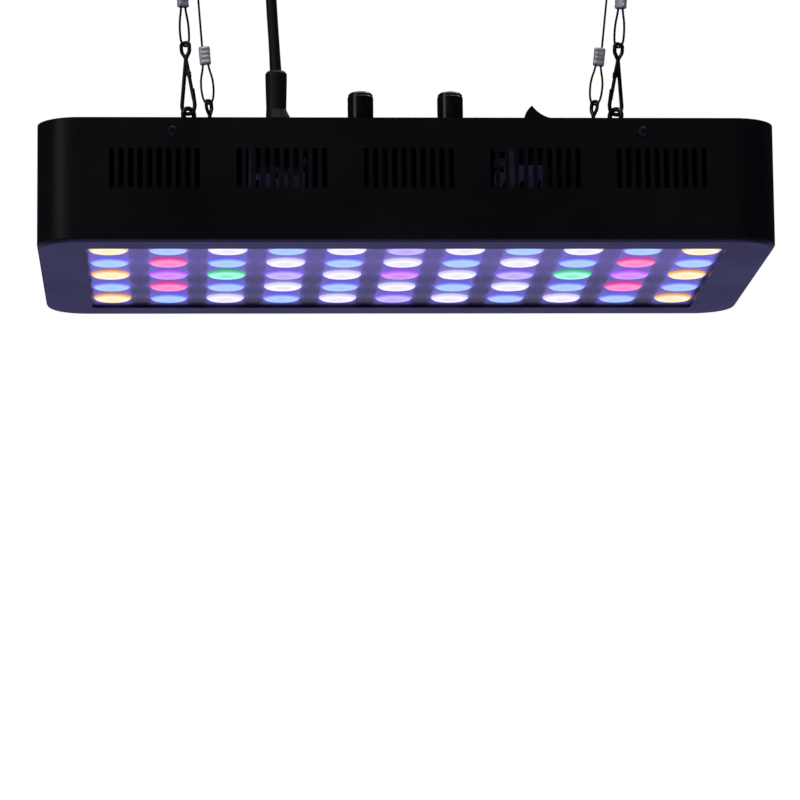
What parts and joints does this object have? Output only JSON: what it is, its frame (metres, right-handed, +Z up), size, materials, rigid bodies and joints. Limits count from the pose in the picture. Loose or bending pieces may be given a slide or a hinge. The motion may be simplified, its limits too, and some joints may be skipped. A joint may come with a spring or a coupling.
{
  "type": "led aquarium light",
  "caption": "Hanging LED aquarium light: black steel box with rounded corners, vent slots, lensed LEDs below, dimmer knobs, rocker switch, fans, mains cord and wire suspension.",
  "frame": {"origin": "centre of the housing's top face, midway between the hanging eyes", "axes": "+Z up towards the ceiling, +X along the light's length to the right of the control panel as seen from the front, +Y to the back"},
  "size_m": [0.4, 0.2148, 0.2611],
  "materials": {
    "black_powder_coat": "satin black powder coat",
    "black_screw": "black oxide",
    "board_white": "white solder mask",
    "bright_steel": "plated",
    "cord_rubber": "matte",
    "dark_panel": "gloss",
    "dark_steel": "black nickel",
    "fan_plastic": "matte",
    "ferrule_aluminium": "crimped",
    "foam": "matte",
    "guard_black": "satin",
    "hook_zinc": "zinc plated",
    "knob_plastic": "satin",
    "led_chip": "clear dome",
    "lens_blue": "clear, lit",
    "lens_green": "clear, lit",
    "lens_magenta": "clear, lit",
    "lens_red": "clear, lit",
    "lens_violet": "clear, lit",
    "lens_warm_white": "clear, lit",
    "lens_white": "clear, lit",
    "pin_brass": "bright",
    "shaft_metal": "bright",
    "sink_aluminium": "mill finish",
    "socket_plastic": "satin",
    "terminal_plastic": "matte",
    "tie_fabric": "woven",
    "wire_rope": "stranded"
  },
  "bodies": {
    "root": {"blue_driver": "sink_aluminium", "board_screws": "bright_steel", "ceiling_hooks": "hook_zinc", "connector_strain_relief": "cord_rubber", "cord_tie": "tie_fabric", "cover_screws": "black_screw", "dimmer_nuts": "bright_steel", "dimmer_pots": "socket_plastic", "eye_bolt_nuts": "bright_steel", "eye_bolts": "dark_steel", "fan_frame_left": "fan_plastic", "fan_frame_right": "fan_plastic", "fan_guard_left": "guard_black", "fan_guard_right": "guard_black", "fan_screws": "black_screw", "gate_rivets": "bright_steel", "heat_sink": "sink_aluminium", "inlet_pins": "pin_brass", "inlet_screws": "black_screw", "inlet_socket": "socket_plastic", "led_board": "board_white", "led_emitters": "led_chip", "lens_plate": "dark_panel", "lenses_blue": "lens_blue", "lenses_green": "lens_green", "lenses_magenta": "lens_magenta", "lenses_red": "lens_red", "lenses_violet": "lens_violet", "lenses_warm_white": "lens_warm_white", "lenses_white": "lens_white", "lower_housing": "black_powder_coat", "mains_plug": "cord_rubber", "mains_plug_pins": "pin_brass", "panel_gasket": "foam", "power_connector": "cord_rubber", "power_cord": "cord_rubber", "power_cord_coil": "cord_rubber", "snap_hook_frames": "dark_steel", "switch_body": "socket_plastic", "terminal_block": "terminal_plastic", "top_cover": "black_powder_coat", "white_driver": "sink_aluminium", "wire_ferrules": "ferrule_aluminium", "wire_front_left": "wire_rope", "wire_front_right": "wire_rope", "wire_rear_left": "wire_rope", "wire_rear_right": "wire_rope"},
    "white_dimmer": {"white_dimmer_knob": "knob_plastic", "white_dimmer_shaft": "shaft_metal"},
    "blue_dimmer": {"blue_dimmer_knob": "knob_plastic", "blue_dimmer_shaft": "shaft_metal"},
    "rocker": {"switch_rocker": "socket_plastic"},
    "left_rotor": {"fan_rotor_left": "fan_plastic"},
    "right_rotor": {"fan_rotor_right": "fan_plastic"},
    "gate_front_left": {"gate_front_left": "dark_steel"},
    "gate_front_right": {"gate_front_right": "dark_steel"},
    "gate_rear_left": {"gate_rear_left": "dark_steel"},
    "gate_rear_right": {"gate_rear_right": "dark_steel"}
  },
  "joints": [
    {"name": "white_dimmer_turn", "type": "hinge", "parent": "root", "child": "white_dimmer", "pos_m": [-0.0251, -0.0895, 0], "axis": [0, 0, -1], "range_deg": [0, 300]},
    {"name": "blue_dimmer_turn", "type": "hinge", "parent": "root", "child": "blue_dimmer", "pos_m": [0.0236, -0.0895, 0], "axis": [0, 0, -1], "range_deg": [0, 300]},
    {"name": "power_rocker", "type": "hinge", "parent": "root", "child": "rocker", "pos_m": [0.0745, -0.0895, -0.0009], "axis": [0, -1, 0], "range_deg": [0, 41]},
    {"name": "left_fan_spin", "type": "hinge", "parent": "root", "child": "left_rotor", "pos_m": [-0.125, 0.005, 0], "axis": [0, 0, 1], "continuous": true},
    {"name": "right_fan_spin", "type": "hinge", "parent": "root", "child": "right_rotor", "pos_m": [0.125, 0.005, 0], "axis": [0, 0, 1], "continuous": true},
    {"name": "gate_front_left_swing", "type": "hinge", "parent": "root", "child": "gate_front_left", "pos_m": [-0.11819, -0.07637, 0.0319], "axis": [0.3416, 0.9397, 0.0173], "range_deg": [0, 12], "stiffness_Nm_per_rad": 0.02},
    {"name": "gate_front_right_swing", "type": "hinge", "parent": "root", "child": "gate_front_right", "pos_m": [0.11554, -0.07637, 0.0319], "axis": [0.3412, -0.9397, -0.0233], "range_deg": [0, 12], "stiffness_Nm_per_rad": 0.02},
    {"name": "gate_rear_left_swing", "type": "hinge", "parent": "root", "child": "gate_rear_left", "pos_m": [-0.10444, 0.05883, 0.03187], "axis": [-0.7638, 0.6428, -0.0588], "range_deg": [0, 12], "stiffness_Nm_per_rad": 0.02},
    {"name": "gate_rear_right_swing", "type": "hinge", "parent": "root", "child": "gate_rear_right", "pos_m": [0.11494, 0.05883, 0.03183], "axis": [-0.7613, -0.6428, 0.0854], "range_deg": [0, 12], "stiffness_Nm_per_rad": 0.02}
  ]
}
